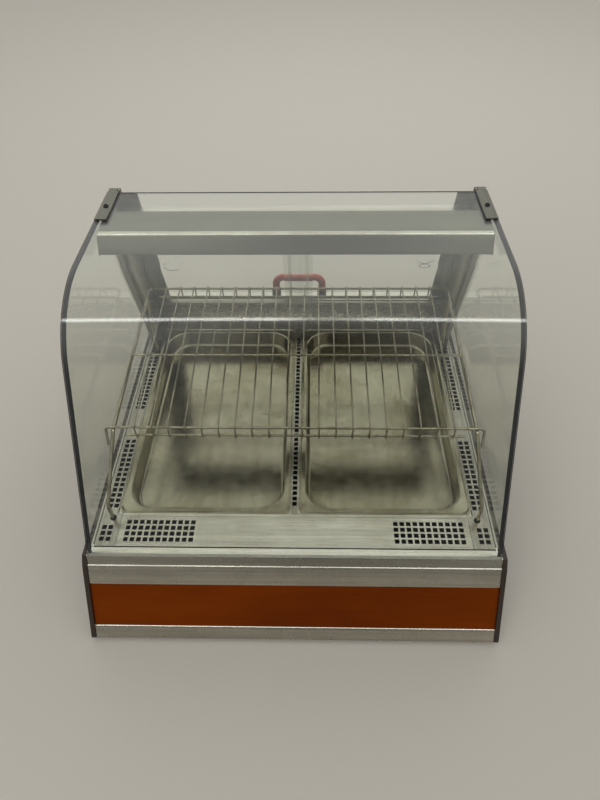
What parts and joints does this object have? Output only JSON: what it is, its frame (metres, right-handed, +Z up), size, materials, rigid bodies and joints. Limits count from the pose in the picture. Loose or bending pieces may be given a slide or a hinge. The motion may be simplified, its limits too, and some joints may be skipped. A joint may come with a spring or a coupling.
{
  "type": "hot food display case",
  "caption": "Counter-top heated food display case with lift-out pans, a wire rack, a bent front glass that tilts up, sliding rear doors and a lamp canopy.",
  "frame": {"origin": "on the table under the middle of the footprint", "axes": "+X to the customer's right, +Y from the customer's side to the server's side, +Z up"},
  "size_m": [0.76, 0.786, 0.558],
  "materials": {
    "satin_steel": "satin",
    "inner_steel": "satin",
    "pan_steel": "satin, stained by use",
    "post_steel": "satin",
    "canopy_steel": "brushed",
    "hinge_steel": "satin",
    "rail_aluminium": "satin",
    "reflector_white": "gloss",
    "heater_sheath": "matte",
    "front_glass": "clear",
    "side_glass": "clear",
    "door_glass": "clear",
    "lamp_glass": "frosted",
    "dark_laminate": "satin",
    "orange_wood": "gloss lacquer",
    "black_rubber": "matte",
    "black_plastic": "satin",
    "red_plastic": "gloss",
    "red_rocker": "gloss",
    "green_rocker": "gloss",
    "amber_lens": "gloss",
    "holder_plastic": "satin",
    "rack_wire": "dulled"
  },
  "bodies": {
    "case": {"base_floor": "inner_steel", "panel_screws": "inner_steel", "feet": "black_rubber", "left_end_panel": "dark_laminate", "right_end_panel": "dark_laminate", "front_nosing": "satin_steel", "front_wood_panel": "orange_wood", "lower_front_trim": "satin_steel", "left_glass_rail": "rail_aluminium", "right_glass_rail": "rail_aluminium", "left_deck_strip": "satin_steel", "right_deck_strip": "satin_steel", "rack_grommets": "black_rubber", "centre_divider": "satin_steel", "pan_cross_rail": "satin_steel", "rear_deck_strip": "satin_steel", "heaters": "heater_sheath", "heater_brackets": "inner_steel", "heat_tray": "inner_steel", "rear_base_panel": "satin_steel", "rear_ledge": "satin_steel", "rear_sill": "satin_steel", "thermostat": "black_plastic", "switch_housings": "black_plastic", "pilot_lamp": "amber_lens", "cable_gland": "black_plastic", "terminal_block": "holder_plastic", "left_post": "post_steel", "right_post": "post_steel", "upper_door_track": "rail_aluminium", "lower_door_track": "rail_aluminium", "left_side_glass": "side_glass", "right_side_glass": "side_glass", "left_glass_seal": "black_rubber", "right_glass_seal": "black_rubber", "glass_rest_strip": "black_rubber", "hinge_brackets": "hinge_steel", "hinge_pins": "inner_steel", "canopy_shell": "canopy_steel", "canopy_end_caps": "canopy_steel", "lamp_reflector": "reflector_white", "lamp_tube": "lamp_glass", "lamp_holders": "holder_plastic", "rear_handle": "red_plastic", "handle_bosses": "black_plastic"},
    "front_glass": {"front_glass": "front_glass", "hinge_plates": "hinge_steel", "plate_screws": "black_plastic"},
    "left_door": {"left_door": "door_glass"},
    "right_door": {"right_door": "door_glass"},
    "rack": {"rack_frame": "rack_wire", "rack_shelf": "rack_wire"},
    "left_pan": {"left_pan": "pan_steel"},
    "right_pan": {"right_pan": "pan_steel"},
    "front_panel": {"front_deck_panel": "satin_steel"},
    "thermostat_control": {"thermostat_shaft": "inner_steel", "thermostat_knob": "black_plastic"},
    "heat_rocker": {"heat_rocker": "red_rocker"},
    "light_rocker": {"light_rocker": "green_rocker"}
  },
  "joints": [
    {"name": "front_glass_tilt", "type": "hinge", "parent": "case", "child": "front_glass", "pos_m": [0, 0.28037, 0.55], "axis": [-1, 0, 0], "range_deg": [0, 60]},
    {"name": "left_door_slide", "type": "slide", "parent": "case", "child": "left_door", "axis": [1, 0, 0], "range_m": [0, 0.31]},
    {"name": "right_door_slide", "type": "slide", "parent": "case", "child": "right_door", "axis": [-1, 0, 0], "range_m": [0, 0.31]},
    {"name": "rack_lift", "type": "slide", "parent": "case", "child": "rack", "axis": [0, 0, 1], "range_m": [0, 0.06]},
    {"name": "left_pan_lift", "type": "slide", "parent": "case", "child": "left_pan", "axis": [0, 0, 1], "range_m": [0, 0.06]},
    {"name": "right_pan_lift", "type": "slide", "parent": "case", "child": "right_pan", "axis": [0, 0, 1], "range_m": [0, 0.06]},
    {"name": "front_panel_lift", "type": "slide", "parent": "case", "child": "front_panel", "axis": [0, 0.342, 0.9397], "range_m": [0, 0.045]},
    {"name": "thermostat_turn", "type": "hinge", "parent": "case", "child": "thermostat_control", "pos_m": [-0.22, 0.375, 0.099], "axis": [0, 1, 0], "range_deg": [0, 270]},
    {"name": "heat_rocker_tip", "type": "hinge", "parent": "case", "child": "heat_rocker", "pos_m": [-0.12, 0.372, 0.099], "axis": [-1, 0, 0], "range_deg": [0, 16]},
    {"name": "light_rocker_tip", "type": "hinge", "parent": "case", "child": "light_rocker", "pos_m": [-0.07, 0.372, 0.099], "axis": [-1, 0, 0], "range_deg": [0, 16]}
  ]
}
